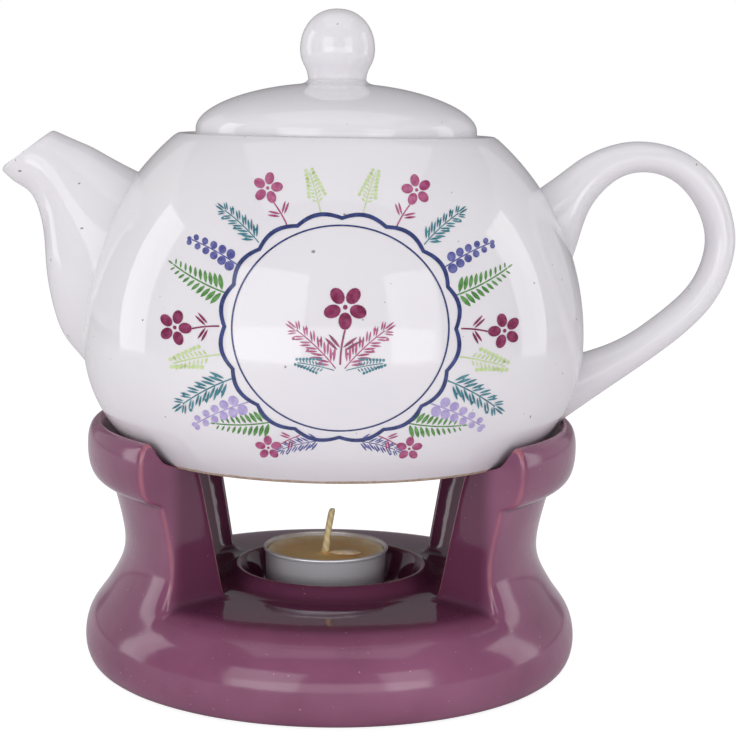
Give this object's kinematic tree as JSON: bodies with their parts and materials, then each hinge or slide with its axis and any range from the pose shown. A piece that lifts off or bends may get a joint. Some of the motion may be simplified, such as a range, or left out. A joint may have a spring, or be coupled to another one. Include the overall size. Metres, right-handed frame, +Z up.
{
  "type": "teapot with tea light warmer",
  "caption": "Round glazed teapot with a short spout, a bow handle and a knobbed lid, standing on a low ring-shaped warmer with a tea light in its well.",
  "frame": {"origin": "on the table, below the middle of the whole object's box", "axes": "+X towards the handle, -X towards the spout, -Y and +Y out of the warmer's two windows, +Z up"},
  "size_m": [0.2238, 0.1524, 0.1991],
  "materials": {
    "warmer": "gloss",
    "pot_body": "gloss",
    "spout": "gloss",
    "handle": "gloss",
    "lid": "gloss",
    "lid_knob": "gloss",
    "tealight_cup": "satin",
    "tealight_wax": "satin",
    "tealight_wick": "matte",
    "wick_sustainer": "satin"
  },
  "bodies": {
    "warmer": {"warmer": "warmer"},
    "pot": {"pot_body": "pot_body", "spout": "spout", "handle": "handle"},
    "lid": {"lid": "lid", "lid_knob": "lid_knob"},
    "tealight": {"tealight_cup": "tealight_cup", "tealight_wax": "tealight_wax", "tealight_wick": "tealight_wick", "wick_sustainer": "wick_sustainer"}
  },
  "joints": [
    {"name": "pot_lift", "type": "slide", "parent": "warmer", "child": "pot", "axis": [0, 0, 1], "range_m": [0, 0.1]},
    {"name": "lid_lift", "type": "slide", "parent": "pot", "child": "lid", "axis": [0, 0, 1], "range_m": [0, 0.06]},
    {"name": "tealight_lift", "type": "slide", "parent": "warmer", "child": "tealight", "axis": [0, 0, 1], "range_m": [0, 0.016]}
  ]
}
